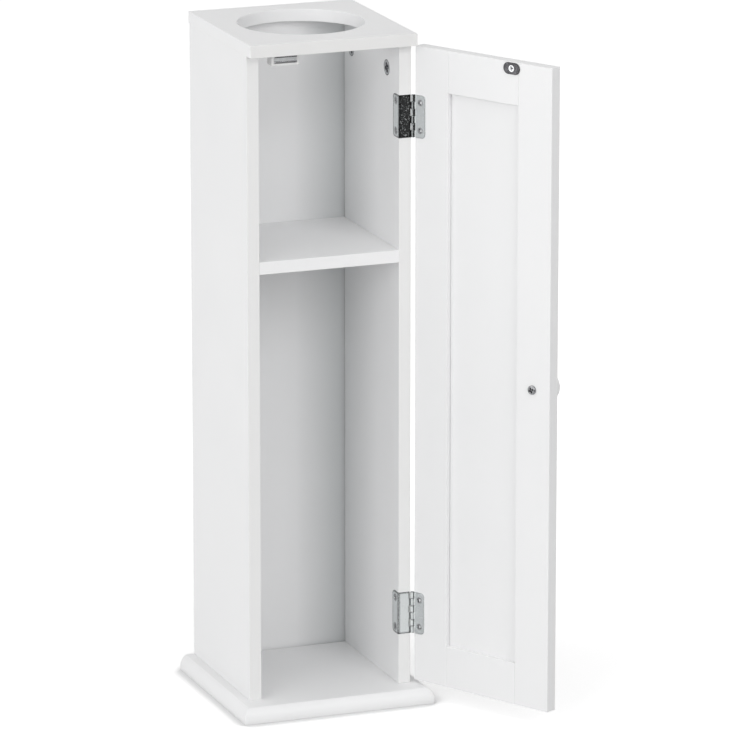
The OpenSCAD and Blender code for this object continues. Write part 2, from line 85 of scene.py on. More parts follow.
def roundedOutline(corners, radii, inset, steps=6):
    # a right-angled outline, counter-clockwise, drawn in by each inset, its corners made arcs:
    # corner + R (back + ahead) - (R - turn inset)(ahead cos a + back sin a), with R at least the
    # inset where the outline turns outwards
    corners, radii, inset = (np.asarray(v, float) for v in (corners, radii, inset))
    back, ahead = np.roll(corners, 1, 0) - corners, np.roll(corners, -1, 0) - corners
    back /= np.linalg.norm(back, axis=1, keepdims=True)
    ahead /= np.linalg.norm(ahead, axis=1, keepdims=True)
    turn = np.sign(ahead[:, 0] * back[:, 1] - ahead[:, 1] * back[:, 0])
    a = np.linspace(0, halfPi, steps)[None, :, None]
    swing = ahead[:, None] * np.cos(a) + back[:, None] * np.sin(a)
    reach = np.where(turn > 0, np.maximum(radii, inset[:, None]), radii)[..., None, None]
    drawn = reach - (turn * inset[:, None])[..., None, None]
    points = corners[:, None] + reach * (back + ahead)[:, None] - drawn * swing
    return points.reshape(len(inset), -1, 2)


def inPlane(flat, height, axes="xyz"):
    # flat outlines at a height: the first two axes named are the outline's, the third is the height
    points = np.empty(flat.shape[:-1] + (3,))
    for axis, values in zip(axes, (flat[..., 0], flat[..., 1], height)):
        points[..., "xyz".index(axis)] = values
    return points


# surfaces: each gives (points, polygons)

def ringSurface(rings, closed=False, caps=True):
    # a grid through a stack of rings, with a flat face over each end
    rings = np.asarray(rings, float)
    rows, columns = rings.shape[:2]
    a, b = np.meshgrid(np.arange(rows if closed else rows - 1), np.arange(columns), indexing="ij")
    below, beside = (a + 1) % rows, (b + 1) % columns
    quads = np.stack([a * columns + b, a * columns + beside,
                      below * columns + beside, below * columns + b], -1)
    polygons = [quads.reshape(-1, 4)]
    if caps and not closed:
        ends = np.arange(columns)[None]
        polygons += [ends, ends + (rows - 1) * columns]
    return rings.reshape(-1, 3), polygons


def easedBox(low, high, ease=0.4, axes="xyz"):
    # a board with every edge rounded over; low and high are given in the order of the axes
    height, inset = easedRun(low[2], high[2], ease)
    flat = drawnIn(low[0], high[0], low[1], high[1], ease, inset)
    return ringSurface(inPlane(flat, height[:, None], axes))


def carriedSection(corners, radii, low, high, ease, axes="xyz"):
    # a section carried straight from low to high, its outline drawn in at both ends
    height, inset = easedRun(low, high, ease)
    return ringSurface(inPlane(roundedOutline(corners, radii, inset), height[:, None], axes))


def turned(profile, steps=48):
    # a profile of (radius, height) turned about z: (r cos a, r sin a, h)
    profile = np.asarray(profile, float)
    a = np.linspace(0, 2 * np.pi, steps, endpoint=False)
    return inPlane(profile[:, None, :1] * circle(a), profile[:, 1:])


def arcProfile(middle, radius, start, stop, steps=12):
    # (r, h) on an arc: middle + radius (cos a, sin a), angles in degrees
    return middle + radius * circle(np.radians(np.linspace(start, stop, steps)))


crossCut = {"spacing": 0.85, "wallSoft": 0.16, "endSoft": 0.3, "endRise": 0.55}


def crossFace(size, steps=72, rows=26):
    # a head's face: rise (1 - (r/R)^2) less a cross recess, which is as deep as the point lies
    # inside either arm, at most 1, and shallower towards the arms' ends
    reach = size["head"] / 2
    radius = reach * np.linspace(0, 1, rows) ** crossCut["spacing"]
    rings = turned(np.stack([radius, size["rise"] * (1 - (radius / reach) ** 2)], -1), steps)
    x, y = np.abs(rings[..., 0]), np.abs(rings[..., 1])
    half, wide = size["arm"] / 2, size["width"] / 2

    def inArm(across, along):
        inside = np.clip((wide - across) / crossCut["wallSoft"] + 0.5, 0, 1)
        return inside * np.clip((half - along) / crossCut["endSoft"] + 0.5, 0, 1)

    shallower = 1 - crossCut["endRise"] * np.clip(np.hypot(x, y) / half, 0, 1)
    rings[..., 2] -= size["recess"] * np.maximum(inArm(y, x), inArm(x, y)) * shallower
    return rings


def aimed(points, place, direction, roll=0.0):
    # turns a shape's own +z to a direction, after rolling it about z, and moves it to its place
    w = np.asarray(direction, float) / np.linalg.norm(direction)
    u = np.cross((0.0, 0.0, 1.0) if abs(w[2]) < 0.9 else (1.0, 0.0, 0.0), w)
    u /= np.linalg.norm(u)
    v = np.cross(w, u)
    c, s = math.cos(math.radians(roll)), math.sin(math.radians(roll))
    x, y, z = (points[..., [axis]] for axis in range(3))
    return np.asarray(place, float) + (x * c - y * s) * u + (x * s + y * c) * v + z * w


def stood(rings, place, direction, roll=0.0):
    # a turned shape that closes at its own poles, aimed and in its place
    return ringSurface(aimed(rings, place, direction, roll), caps=False)


def screwAt(size, place, direction, roll):
    # the face, then a profile of (radius, height) down its rim and shank
    return stood(np.concatenate([crossFace(size), turned(size["below"], 72)]), place, direction, roll)


def screwHole(size, place, direction, steps=40):
    # a straight hole for a screw's head
    return ringSurface(aimed(turned(size["hole"], steps), place, direction))


def carriedStrip(path, thick, low, high, ease, cornerRadius=0.0, steps=4, cornerSteps=14):
    # sheet metal on its path in plan: a rounded rectangle square to the path at each of its points,
    # as thick as the sheet and from low to high, its far corners drawn in by R - sqrt(R^2 - d^2)
    path = np.asarray(path, float)
    length = np.concatenate([[0], np.cumsum(np.linalg.norm(np.diff(path, axis=0), axis=1))])
    total = length[-1]
    rim = ease * (1 - np.cos(np.linspace(0, halfPi, steps)))
    bow = cornerRadius * np.cos(np.linspace(0, halfPi, cornerSteps))
    s = np.unique(np.round(np.concatenate([rim, length, total - cornerRadius + bow, total - rim]), 5))
    s = s[(s >= 0) & (s <= total)]
    x, y = np.interp(s, length, path[:, 0]), np.interp(s, length, path[:, 1])
    along = np.stack([np.gradient(x, s), np.gradient(y, s)], -1)
    along /= np.linalg.norm(along, axis=1, keepdims=True)
    across = np.stack([along[:, 1], -along[:, 0]], -1)
    inset = ease * (1 - np.sqrt(1 - np.clip(1 - np.minimum(s, total - s) / ease, 0, 1) ** 2))
    over = np.clip(s - (total - cornerRadius), 0, cornerRadius)
    drop = cornerRadius - np.sqrt(np.maximum(cornerRadius ** 2 - over ** 2, 0))
    drop = np.minimum(drop, (high - low) / 2 - ease)
    flat = drawnIn(-thick / 2, thick / 2, low + drop, high - drop, ease, inset, steps=steps)
    plan = np.stack([x, y], -1)[:, None] + across[:, None] * flat[..., :1]
    return ringSurface(inPlane(plan, flat[..., 1]))


# from arrays to pieces

swing = {"pinX": 83.1, "pinY": -67.25, "open": 119.3}  # the pins' axis, and how far open in degrees


def swungOpen(part):
    # turns closed-door points about the pins: p + (x cos a - y sin a, x sin a + y cos a)
    points, polygons = part
    a = math.radians(swing["open"])
    x, y = points[:, 0] - swing["pinX"], points[:, 1] - swing["pinY"]
    turnedX, turnedY = x * math.cos(a) - y * math.sin(a), x * math.sin(a) + y * math.cos(a)
    return np.stack([swing["pinX"] + turnedX, swing["pinY"] + turnedY, points[:, 2]], -1), polygons


def mirrored(part, middle=0.0):
    # the same shape on the other side of x = middle
    return part[0] * (-1, 1, 1) + (2 * middle, 0, 0), part[1]


def arrayMesh(name, parts):
    # stacks the parts, welds seams and poles, and turns every face outwards
    starts = np.cumsum([0] + [len(points) for points, _ in parts[:-1]])
    faces = [face for start, (_, polygons) in zip(starts, parts)
             for group in polygons for face in (group + start).tolist()]
    mesh = bpy.data.meshes.new(name)
    points = np.concatenate([points for points, _ in parts]) * toMetres
    mesh.from_pydata(points.tolist(), [], faces)
    work = bmesh.new()
    work.from_mesh(mesh)
    bmesh.ops.remove_doubles(work, verts=work.verts, dist=weldGap)
    bmesh.ops.recalc_face_normals(work, faces=work.faces)
    work.to_mesh(mesh)
    work.free()
    return mesh


def addObject(name, data):
    made = bpy.data.objects.new(name, data)
    bpy.context.scene.collection.objects.link(made)
    return made


def addPiece(name, parts, finish, stands=(), bores=(), crease=24.0, body="carcass"):
    # one object at the origin for the parts given; bores are closed shapes taken away from it
    piece = addObject(name, arrayMesh(name, parts))
    if bores:
        cutter = addObject("cutter", arrayMesh("cutter", bores))
        cut = piece.modifiers.new("bores", "BOOLEAN")
        cut.operation, cut.solver, cut.object = "DIFFERENCE", "EXACT", cutter
        bpy.context.view_layer.update()
        bored = bpy.data.meshes.new_from_object(piece.evaluated_get(bpy.context.evaluated_depsgraph_get()))
        piece.modifiers.clear()
        piece.data = bored
        bpy.data.objects.remove(cutter)
    piece.data.shade_smooth()
    piece.data.set_sharp_from_angle(angle=math.radians(crease))
    flatFaces = piece.modifiers.new("flatFaces", "WEIGHTED_NORMAL")
    flatFaces.keep_sharp, flatFaces.weight = True, 80
    piece.data.materials.clear()
    piece.data.materials.append(finish)
    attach(piece, body)
    if stands:
        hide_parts(*stands)
    return piece


def addDoorPiece(name, parts, finish, stands, bores=(), crease=24.0):
    # shapes drawn for the closed door, turned to the open one
    opened, openedBores = ([swungOpen(part) for part in group] for group in (parts, bores))
    return addPiece(name, opened, finish, stands, openedBores, crease, "door")


# finishes

# noise values over which each tint comes in, and how far sheet turns before its painted dark edge (painted
# shade and dark reflection) is full or starts
spans = {"roller": (0.55, 0.8), "spot": (0.5, 0.72), "grain": (0.45, 0.75), "ray": (0.58, 0.7)}
metalEdgeShade = {"full": 0.955, "none": 0.9995}


def addNode(tree, kind, inputs={}, **settings):
    # one shader node; each input gets a value, or the socket that feeds it
    node = tree.nodes.new("ShaderNode" + kind)
    for name, value in settings.items():
        setattr(node, name, value)
    for name, value in inputs.items():
        if isinstance(value, bpy.types.NodeSocket):
            tree.links.new(value, node.inputs[name])
        else:
            node.inputs[name].default_value = value
    return node


def startFinish(name):
    material = bpy.data.materials.new(name)
    material.use_nodes = True
    material.node_tree.nodes.clear()
    return material, material.node_tree, addNode(material.node_tree, "TexCoord").outputs["Object"]


def finished(material, inputs):
    shader = addNode(material.node_tree, "BsdfPrincipled", inputs)
    addNode(material.node_tree, "OutputMaterial", {"Surface": shader.outputs["BSDF"]})
    return material


def noiseField(tree, where, scale, detail=2.0, roughness=0.5, stretch=None, distortion=0.0):
    if stretch:
        where = addNode(tree, "Mapping", {"Vector": where, "Scale": stretch}).outputs["Vector"]
    return addNode(tree, "TexNoise", {"Vector": where, "Scale": scale, "Detail": detail,
                                      "Roughness": roughness, "Distortion": distortion}).outputs["Fac"]


def ranged(tree, source, low, high, fromLow=0.3, fromHigh=0.7):
    return addNode(tree, "MapRange", {"Value": source, "From Min": fromLow, "From Max": fromHigh,
                                      "To Min": low, "To Max": high}).outputs["Result"]


def tinted(tree, source, first, second, fromLow=0.3, fromHigh=0.7):
    ramp = addNode(tree, "ValToRGB", {"Fac": source})
    for stop, place, colour in zip(ramp.color_ramp.elements, (fromLow, fromHigh), (first, second)):
        stop.position, stop.color = place, (*colour, 1)
    return ramp.outputs["Color"]


def laidOver(tree, share, under, colour):
    return addNode(tree, "Mix", {0: share, 6: under, 7: (*colour, 1)}, data_type="RGBA").outputs[2]


def worked(tree, operation, first, second=0.0):
    return addNode(tree, "Math", {0: first, 1: second}, operation=operation).outputs[0]


def coordinates(tree, where):
    apart = addNode(tree, "SeparateXYZ", {"Vector": where})
    return apart.outputs["X"], apart.outputs["Y"]


def planDistance(tree, x, y, line):
    # how far a point lies from an upright line, seen in plan
    flat = addNode(tree, "CombineXYZ", {"X": x, "Y": y}).outputs["Vector"]
    return addNode(tree, "VectorMath", {0: flat, 1: (*line, 0.0)}, operation="DISTANCE").outputs["Value"]


def raised(tree, layers):
    # bump layers one on another, each a height field and its height in metres
    normal = {}
    for source, height in layers:
        bump = addNode(tree, "Bump", {"Strength": 1.0, "Distance": height, "Height": source, **normal})
        normal = {"Normal": bump.outputs["Normal"]}
    return normal


def edgeShare(tree, width, most, full=0.75, none=0.985):
    # how far the surface turns within a width of an edge, from bevelled normal . normal:
    # 0 where that is none or more, and most where it is full or less
    bevel = addNode(tree, "Bevel", {"Radius": width}, samples=6).outputs["Normal"]
    normal = addNode(tree, "NewGeometry").outputs["Normal"]
    dot = addNode(tree, "VectorMath", {0: bevel, 1: normal}, operation="DOT_PRODUCT")
    return ranged(tree, dot.outputs["Value"], most, 0.0, full, none)


def recessShadeShare(tree, reach, most, shut=0.25, clear=0.8):
    # painted shade in recesses: how closed in a point is by the piece's own faces within a reach: most where
    # its open share is shut or less, 0 where it is clear or more
    around = addNode(tree, "AmbientOcclusion", {"Distance": reach}, only_local=True, samples=8)
    return ranged(tree, around.outputs["AO"], most, 0.0, shut, clear)


def paintedCornerShade(tree, where, corner):
    # painted shade: the inner faces painted darker towards the carcass's two rear corners: most at the
    # upright lines (+-x, y), 0 at the reach and further, and 0 a margin past the inner faces
    x, y = coordinates(tree, where)
    size = worked(tree, "ABSOLUTE", x)
    away = planDistance(tree, size, y, corner["line"])
    share = ranged(tree, away, corner["tint"], 0.0, 0.0, corner["reach"])
    for value, face in zip((size, y), corner["line"]):
        share = worked(tree, "MULTIPLY", share, worked(tree, "LESS_THAN", value, face + corner["margin"]))
    return share


def paintFinish(name, look):
    material, tree, where = startFinish(name)
    clouds = noiseField(tree, where, look["cloudScale"], 3.0)
    body = tinted(tree, clouds, look["shade"], look["light"])
    rolled = noiseField(tree, where, look["rollerScale"], 3.0, 0.6)
    roller = ranged(tree, rolled, 0.0, look["rollerTint"], *spans["roller"])
    body = laidOver(tree, roller, body, look["shade"])
    body = laidOver(tree, edgeShare(tree, look["edgeWidth"], look["edgeTint"]), body, look["edge"])
    if "front" in look:  # painted shade: a board's front edge face painted a little darker
        front = look["front"]
        cut = worked(tree, "LESS_THAN", coordinates(tree, where)[1], front["line"])
        body = laidOver(tree, worked(tree, "MULTIPLY", cut, front["tint"]), body, front["shade"])
    # painted shade towards the rear corners, a cool grey
    if "corner" in look:
        body = laidOver(tree, paintedCornerShade(tree, where, look["corner"]), body, look["corner"]["shade"])
    smears = noiseField(tree, where, look["smearScale"], 4.0, 0.6, distortion=0.6)
    waves = noiseField(tree, where, look["waveScale"])
    return finished(material, {
        "Base Color": body, "Roughness": ranged(tree, smears, *look["rough"]), "IOR": 1.46,
        "Coat Weight": look["coat"], "Coat Roughness": 0.25,
        **raised(tree, [(waves, look["waveHeight"]), (rolled, look["rollerHeight"])])})


def metalFinish(name, look):
    material, tree, where = startFinish(name)
    brushed = noiseField(tree, where, look["grainScale"], 4.0, 0.65, look["grain"])
    spots = noiseField(tree, where, look["spotScale"], 3.0, 0.6, distortion=0.4)
    body = tinted(tree, brushed, look["shade"], look["light"])
    body = laidOver(tree, ranged(tree, spots, 0.0, look["spotTint"], *spans["spot"]), body, look["spot"])
    edge = edgeShare(tree, look["edgeWidth"], look["edgeTint"], **metalEdgeShade)
    if "barrel" in look:  # painted shade at the knuckles: near the pins the dark edges take another tint, as a share of the sheet's
        barrel = look["barrel"]
        away = planDistance(tree, *coordinates(tree, where), barrel["axis"])
        edge = worked(tree, "MULTIPLY", edge, ranged(tree, away, barrel["tint"], 1.0, *barrel["fade"]))
    # painted shade and painted dark reflection along edges and rims
    body = laidOver(tree, edge, body, look["edge"])
    # painted shade in recesses and slots
    body = laidOver(tree, recessShadeShare(tree, look["cavityReach"], look["cavityTint"]), body, look["cavity"])
    return finished(material, {
        "Base Color": body, "Roughness": ranged(tree, spots, *look["rough"]), "Metallic": look["metallic"],
        **raised(tree, [(spots, look["spotHeight"]), (brushed, look["grainHeight"])])})


def plasticFinish(name, look):
    material, tree, where = startFinish(name)
    clouds = noiseField(tree, where, look["cloudScale"])
    grain = noiseField(tree, where, look["grainScale"], 3.0, 0.6)
    body = tinted(tree, clouds, look["shade"], look["light"])
    body = laidOver(tree, ranged(tree, grain, 0.0, look["grainTint"], *spans["grain"]), body, look["shade"])
    return finished(material, {
        "Base Color": body, "Roughness": ranged(tree, grain, *look["rough"]), "IOR": look["ior"],
        **raised(tree, [(clouds, look["waveHeight"]), (grain, look["grainHeight"])])})


def beechFinish(name, look):
    # fine rings round the dowel's length: stretched noise for the fibres, short flecks for the rays
    material, tree, where = startFinish(name)
    fibres = noiseField(tree, where, look["fibreScale"], 5.0, 0.6, look["fibre"])
    flecks = noiseField(tree, where, look["fleckScale"], stretch=look["fleck"])
    body = tinted(tree, fibres, look["shade"], look["light"])
    body = laidOver(tree, ranged(tree, flecks, 0.0, look["rayTint"], *spans["ray"]), body, look["ray"])
    return finished(material, {
        "Base Color": body, "Roughness": ranged(tree, fibres, *look["rough"]),
        **raised(tree, [(fibres, look["height"])])})


print("finishes")
paintLook = {
    "light": (0.862, 0.863, 0.866), "shade": (0.845, 0.847, 0.852), "edge": (0.825, 0.82, 0.81),
    "cloudScale": 5.0, "rollerScale": 520.0, "rollerTint": 0.5, "smearScale": 9.0, "waveScale": 38.0,
    "rough": (0.36, 0.47), "coat": 0.0, "edgeWidth": 0.0007, "edgeTint": 0.35,
    "waveHeight": 0.00006, "rollerHeight": 0.000012}
# painted shade: the inner faces of the sides and back darkened towards the rear corners, in a cool grey
cornerShadeLook = {  # lines, reach and margin in metres, as in every look
    "line": (0.0695, 0.08025), "reach": 0.09, "margin": 0.0006, "tint": 0.2, "shade": (0.42, 0.453, 0.459)}
# painted shade on the front edge faces of the sides and the top board
frontEdgeShadeLook = {"line": -0.0657, "tint": 0.6, "shade": (0.78, 0.778, 0.77)}
boardWhite = paintFinish("boardWhite", paintLook)
sideWhite = paintFinish("sideWhite", {**paintLook, "corner": cornerShadeLook, "front": frontEdgeShadeLook})
topWhite = paintFinish("topWhite", {**paintLook, "front": {**frontEdgeShadeLook, "line": -0.0797, "tint": 0.85}})
# back board: its white painted lighter than the other boards' to stand in for more light inside, besides
# being another board's white; painted shade towards the rear corners
backWhite = paintFinish("backWhite", {
    **paintLook, "light": (0.90, 0.90, 0.903), "shade": (0.885, 0.887, 0.892),
    "corner": {**cornerShadeLook, "reach": 0.05, "tint": 0.54}})
knobWhite = paintFinish("knobWhite", {
    "light": (0.875, 0.875, 0.876), "shade": (0.86, 0.86, 0.862), "edge": (0.84, 0.838, 0.83),
    "cloudScale": 30.0, "rollerScale": 900.0, "rollerTint": 0.3, "smearScale": 40.0, "waveScale": 120.0,
    "rough": (0.2, 0.3), "coat": 0.25, "edgeWidth": 0.0005, "edgeTint": 0.2,
    "waveHeight": 0.00002, "rollerHeight": 0.000004})
# in the metal looks, "edge" is a painted dark rim (painted shade and painted dark reflection) and "cavity" is
# painted shade in recesses
plainMetal = {"grain": (1.0, 1.0, 1.0), "metallic": 1.0, "cavityTint": 1.0, "edgeTint": 1.0}
zincLook = {
    **plainMetal, "light": (0.79, 0.82, 0.825), "shade": (0.74, 0.77, 0.775), "spot": (0.60, 0.62, 0.625),
    "edge": (0.025, 0.026, 0.028), "cavity": (0.10, 0.10, 0.105), "cavityReach": 0.0012, "cavityTint": 0.9,
    "grainScale": 700.0, "grain": (1.0, 1.0, 0.15), "spotScale": 900.0, "spotTint": 0.3,
    "rough": (0.05, 0.32, 0.52, 0.66), "edgeWidth": 0.0029, "spotHeight": 0.00002, "grainHeight": 0.000001}
barrelLook = {"axis": (0.0831, -0.06725), "fade": (0.002, 0.0022), "tint": 0.3}
# painted light: the cabinet leaf's zinc is a shaded copy and the door leaf's a lit copy of the same metal
shadedZincPlate = metalFinish("shadedZincPlate", {**zincLook, "barrel": barrelLook})
litZincLeaf = metalFinish("litZincLeaf", {
    **zincLook, "light": (0.93, 0.965, 0.97), "shade": (0.88, 0.91, 0.915),
    "edgeWidth": 0.0016, "edgeTint": 0.45, "barrel": {**barrelLook, "tint": 2.1}})
screwLook = {
    **plainMetal, "light": (0.80, 0.81, 0.82), "shade": (0.70, 0.71, 0.73), "spot": (0.42, 0.43, 0.45),
    "edge": (0.34, 0.345, 0.35), "edgeWidth": 0.0003, "edgeTint": 0.5, "cavity": (0.035, 0.035, 0.04),
    "cavityReach": 0.0011, "grainScale": 900.0, "spotScale": 900.0, "spotTint": 0.4, "rough": (0.14, 0.26),
    "spotHeight": 0.000003, "grainHeight": 0.000002}
screwZinc = metalFinish("screwZinc", screwLook)
# painted shade: a dark rim round the leaf screws' heads
leafScrewZinc = metalFinish("leafScrewZinc", {
    **screwLook, "edge": (0.07, 0.07, 0.074), "edgeWidth": 0.0006, "edgeTint": 0.95})
# painted shade: a dark rim round the knob screw's head
screwGrey = metalFinish("screwGrey", {
    **screwLook, "light": (0.46, 0.465, 0.475), "shade": (0.30, 0.305, 0.315), "edge": (0.03, 0.03, 0.033),
    "edgeWidth": 0.0013, "edgeTint": 1.0, "spotTint": 0.7, "spotHeight": 0.00001})
# painted shade: a dark rim round the cams and a dark slot
camZinc = metalFinish("camZinc", {
    **plainMetal, "light": (0.66, 0.67, 0.685), "shade": (0.52, 0.53, 0.545), "spot": (0.30, 0.305, 0.315),
    "edge": (0.04, 0.04, 0.045), "edgeWidth": 0.0019, "cavity": (0.012, 0.012, 0.014), "cavityReach": 0.0025,
    "grainScale": 700.0, "spotScale": 380.0, "spotTint": 0.5, "metallic": 0.9, "rough": (0.34, 0.5),
    "spotHeight": 0.00002, "grainHeight": 0.000008})
# painted shade: a darker rim round the strike plate
strikeBlack = metalFinish("strikeBlack", {
    **plainMetal, "light": (0.105, 0.103, 0.110), "shade": (0.045, 0.045, 0.049), "spot": (0.24, 0.235, 0.25),
    "edge": (0.010, 0.010, 0.011), "edgeWidth": 0.0016, "edgeTint": 0.9, "cavity": (0.006, 0.006, 0.007),
    "cavityReach": 0.001, "cavityTint": 0.8, "grainScale": 800.0, "spotScale": 480.0, "spotTint": 0.8,
    "metallic": 0.5, "rough": (0.24, 0.42), "spotHeight": 0.00002, "grainHeight": 0.000006})
catchWhite = plasticFinish("catchWhite", {
    "light": (0.74, 0.74, 0.735), "shade": (0.70, 0.70, 0.695), "cloudScale": 60.0, "grainScale": 1400.0,
    "grainTint": 0.5, "rough": (0.38, 0.52), "ior": 1.49, "waveHeight": 0.00002, "grainHeight": 0.000008})
ferrite = plasticFinish("ferrite", {
    "light": (0.62, 0.63, 0.635), "shade": (0.50, 0.51, 0.515), "cloudScale": 220.0, "grainScale": 2600.0,
    "grainTint": 0.8, "rough": (0.65, 0.85), "ior": 1.6, "waveHeight": 0.00002, "grainHeight": 0.00002})
beech = beechFinish("beech", {
    "light": (0.66, 0.47, 0.29), "shade": (0.50, 0.33, 0.19), "ray": (0.40, 0.25, 0.14), "rayTint": 0.6,
    "fibreScale": 240.0, "fibre": (0.15, 1.0, 1.0), "fleckScale": 900.0, "fleck": (0.3, 1.0, 1.0),
    "rough": (0.55, 0.75), "height": 0.00004})


# carcass boards

print("carcass boards")
sides = (-1, 1)  # left and right
cutPast = 1.0  # how far a bore or groove is cut past the face that it opens in
backGroove = {"x": 73.5, "y": (78.25, 83.25), "deep": 4.0, "ease": 0.1}


def addBoard(name, parts, node, bores=(), finish=boardWhite):
    return addPiece(name, parts, finish, [node], bores)


def backSlot(low, high):
    # the groove for the back board where it crosses a flat board, as a closed block to be taken away
    half, (front, rear) = backGroove["x"], backGroove["y"]
    return easedBox((-half, front, low), (half, rear, high), backGroove["ease"])


topBoard = {"x": (-82.5, 82.5), "y": (-80.25, 93.75), "z": (638.0, 650.0), "ease": 0.6,
            "hole": (0.0, 9.75), "holeRadius": 60.0, "sidePoints": 30}


def boardWithHole(size):
    # rows run round the section: up the hole's wall, over the top, down the outside and back under;
    # a hole point is hole middle + (R + inset) (cos a, sin a), a the direction of its outer point
    height, inset = easedRun(*size["z"], size["ease"])
    outer = drawnIn(*size["x"], *size["y"], size["ease"], inset, fill=size["sidePoints"])
    widest = outer[np.argmin(inset)] - size["hole"]
    a = np.arctan2(widest[:, 1], widest[:, 0])
    wall = size["hole"] + (size["holeRadius"] + inset)[:, None, None] * circle(a)
    rings = np.concatenate([inPlane(wall, height[:, None]), inPlane(outer, height[:, None])[::-1]])
    return ringSurface(rings, closed=True)


addBoard("topBoard", [boardWithHole(topBoard)], "top_panel", finish=topWhite,
         bores=[backSlot(topBoard["z"][0] - cutPast, topBoard["z"][0] + backGroove["deep"])])

sideBoard = {"x": (69.5, 81.5), "y": (-66.25, 93.75), "z": (15.0, 638.0), "ease": 0.5, "endEase": 0.3,
             "groove": backGroove["y"], "grooveDepth": backGroove["deep"], "lip": 0.2,
             "camY": (-33.25, 60.75), "camZ": 609.5, "camRadius": 7.55, "camDepth": 9.5, "camFlare": 0.25}


def sideShape(size):
    # plan section with the back panel's groove, carried up the board
    (x0, x1), (y0, y1), (g0, g1) = size["x"], size["y"], size["groove"]
    deep, e, lip = x0 + size["grooveDepth"], size["ease"], size["lip"]
    corners = [(x0, y0), (x1, y0), (x1, y1), (x0, y1), (x0, g1), (deep, g1), (deep, g0), (x0, g0)]
    return carriedSection(corners, [e, e, e, e, lip, 0, 0, lip], *size["z"], size["endEase"])


def camBores(size):
    # two blind holes from the inner face, mouths a little flared
    r, flare = size["camRadius"], size["camFlare"]
    hole = turned([(r + flare, 2 * flare), (r + flare, 0.0), (r, -flare), (r, -size["camDepth"])], 64)
    return [ringSurface(aimed(hole, (size["x"][0], y, size["camZ"]), (-1, 0, 0))) for y in size["camY"]]


rightBoard, rightBores = sideShape(sideBoard), camBores(sideBoard)
addBoard("rightSideBoard", [rightBoard], "right_side", rightBores, sideWhite)
addBoard("leftSideBoard", [mirrored(rightBoard)], "left_side", [mirrored(b) for b in rightBores], sideWhite)

baseBoard = {"x": 96.0, "y": 93.75, "thick": 15.0, "noseRadius": 12.0, "noseMiddle": 4.5, "noseSteps": 26,
             "mitre": 0.7, "screwX": 75.5, "screwY": (-41.25, 68.75), "screwHead": 4.55, "screwHole": 2.55}


def mouldedBase(size):
    # inset d = R - R cos a at height m + R sin a, for the front and both sides; the rear stays square
    radius, middle = size["noseRadius"], size["noseMiddle"]
    low, high = (math.asin(z / radius) for z in (-middle, size["thick"] - middle))
    a = np.linspace(low, high, size["noseSteps"])
    d, height = radius * (1 - np.cos(a)), middle + radius * np.sin(a)
    rear = np.full_like(d, size["y"])
    flat = roundedRings(d - size["x"], size["x"] - d, d - size["y"], rear, size["mitre"])
    return ringSurface(inPlane(flat, height[:, None]))


def baseBores(size):
    # countersunk holes from the underside
    wide, narrow = size["screwHead"], size["screwHole"]
    hole = turned([(wide, -cutPast), (wide, 0.0), (narrow, wide - narrow), (narrow, size["thick"] - cutPast)])
    return [ringSurface(hole + (s * size["screwX"], y, 0)) for s in sides for y in size["screwY"]]


addBoard("mouldedBase", [mouldedBase(baseBoard)], "base_plate", baseBores(baseBoard) + [
    backSlot(baseBoard["thick"] - backGroove["deep"], baseBoard["thick"] + cutPast)])

shelfBoard = {"low": (-69.5, -66.25, 429.0), "high": (69.5, 80.25, 441.0), "ease": 0.45}
addBoard("shelfBoard", [easedBox(**shelfBoard)], "shelf")

backBoard = {"low": (-73.0, 80.25, 11.0), "high": (73.0, 83.25, 641.5), "ease": 0.15}
addBoard("backBoard", [easedBox(**backBoard)], "back_panel", finish=backWhite)


# fittings in the joints

print("joint fittings")
camLock = {"head": 14.9, "rise": 0.0, "arm": 8.6, "width": 2.4, "recess": 3.2, "roll": 20,
           "below": [(7.45, -0.25), (7.45, -9.2), (0.0, -9.2)], "sunk": 0.15}
camX = sideBoard["x"][0] + camLock["sunk"]
camLocks = [screwAt(camLock, (s * camX, y, sideBoard["camZ"]), (-s, 0, 0), camLock["roll"] * s)
            for s in sides for y in sideBoard["camY"]]
addPiece("camLocks", camLocks, camZinc, ["cam_locks"])

camBolt = {"x": 75.5, "z": 638.0, "pitch": 1.4, "core": 2.05, "thread": 2.5, "threaded": (0.3, 8.9),
           "tip": [(1.6, 9.0), (0.0, 9.0)],
           "stem": [(0.0, -30.3), (2.6, -30.3), (3.0, -29.9), (3.0, -27.0), (2.7, -26.7), (1.8, -26.7),
                    (1.8, -20.0), (2.5, -19.6), (2.5, -1.0), (3.3, -1.0), (3.4, -0.9), (3.4, -0.1),
                    (3.3, 0.0)]}


def boltProfile(size):
    # waisted head, neck, stem and collar, then a thread drawn as rings: r between core and thread by turns
    h = np.arange(*size["threaded"], size["pitch"] / 4)
    r = size["core"] + (size["thread"] - size["core"]) * (np.arange(len(h)) % 4 == 1)
    return np.concatenate([size["stem"], [(size["core"], 0.0)], np.stack([r, h], -1), size["tip"]])


boltRings = turned(boltProfile(camBolt), 24)
camBolts = [ringSurface(boltRings + (s * camBolt["x"], y, camBolt["z"]), caps=False)
            for s in sides for y in sideBoard["camY"]]
addPiece("camBolts", camBolts, screwZinc, ["cam_bolts"])

dowel = {"radius": 3.0, "length": 24.0, "inFace": 8.0, "flutes": 24, "fluteDepth": 0.14, "chamfer": 0.9,
         "x": 75.5, "y": 13.75, "shelfY": 7.0, "shelfReach": 45.0, "shelfZ": 435.0}


